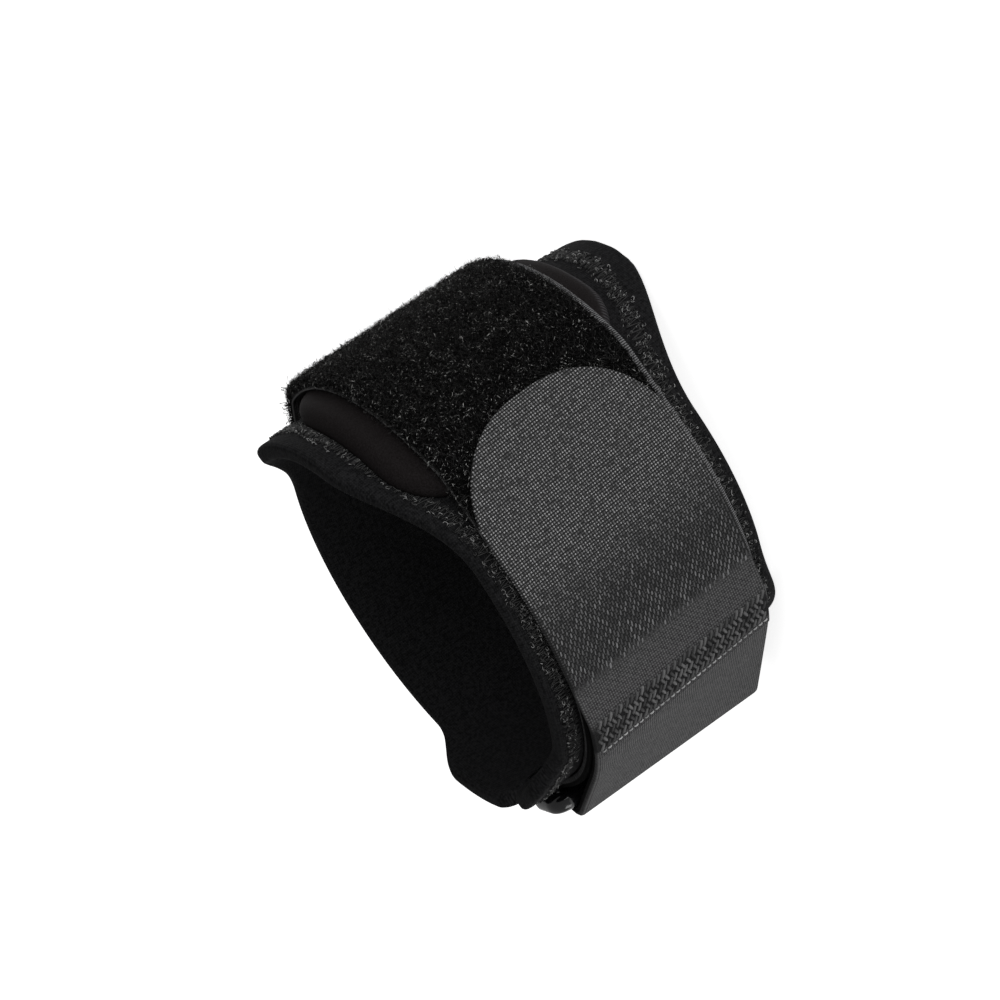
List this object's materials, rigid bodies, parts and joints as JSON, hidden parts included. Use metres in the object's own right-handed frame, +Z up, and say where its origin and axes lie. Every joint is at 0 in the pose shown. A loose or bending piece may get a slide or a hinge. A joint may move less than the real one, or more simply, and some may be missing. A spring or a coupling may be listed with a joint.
{
  "type": "tennis elbow strap",
  "caption": "Padded neoprene forearm band with a pressure pad, closed by a loop pile strap that runs through a ring and folds back under a hook tab.",
  "frame": {"origin": "on the surface that the wrist rim rests on, under the middle of the bounding box", "axes": "+Z up towards the elbow end, front with the hook tab at -Y, pressure pad at +X, ring at -X"},
  "size_m": [0.118, 0.1094, 0.0849],
  "materials": {
    "neoprene": "black knit-faced neoprene, matte, with loose zigzag threads along its rims",
    "pad_knit": "smooth fine black knit, slightly satin",
    "loop_pile": "black loop pile with a fine woven edge",
    "hook_tape": "charcoal woven tape back, matte",
    "ring_plastic": "glossy black moulded plastic",
    "webbing": "black woven webbing"
  },
  "bodies": {
    "root": {"base_wrap": "neoprene", "pressure_pad": "pad_knit", "loop_strap": "loop_pile", "hook_tab": "hook_tape", "strap_ring": "ring_plastic", "ring_keeper": "webbing"}
  },
  "joints": []
}
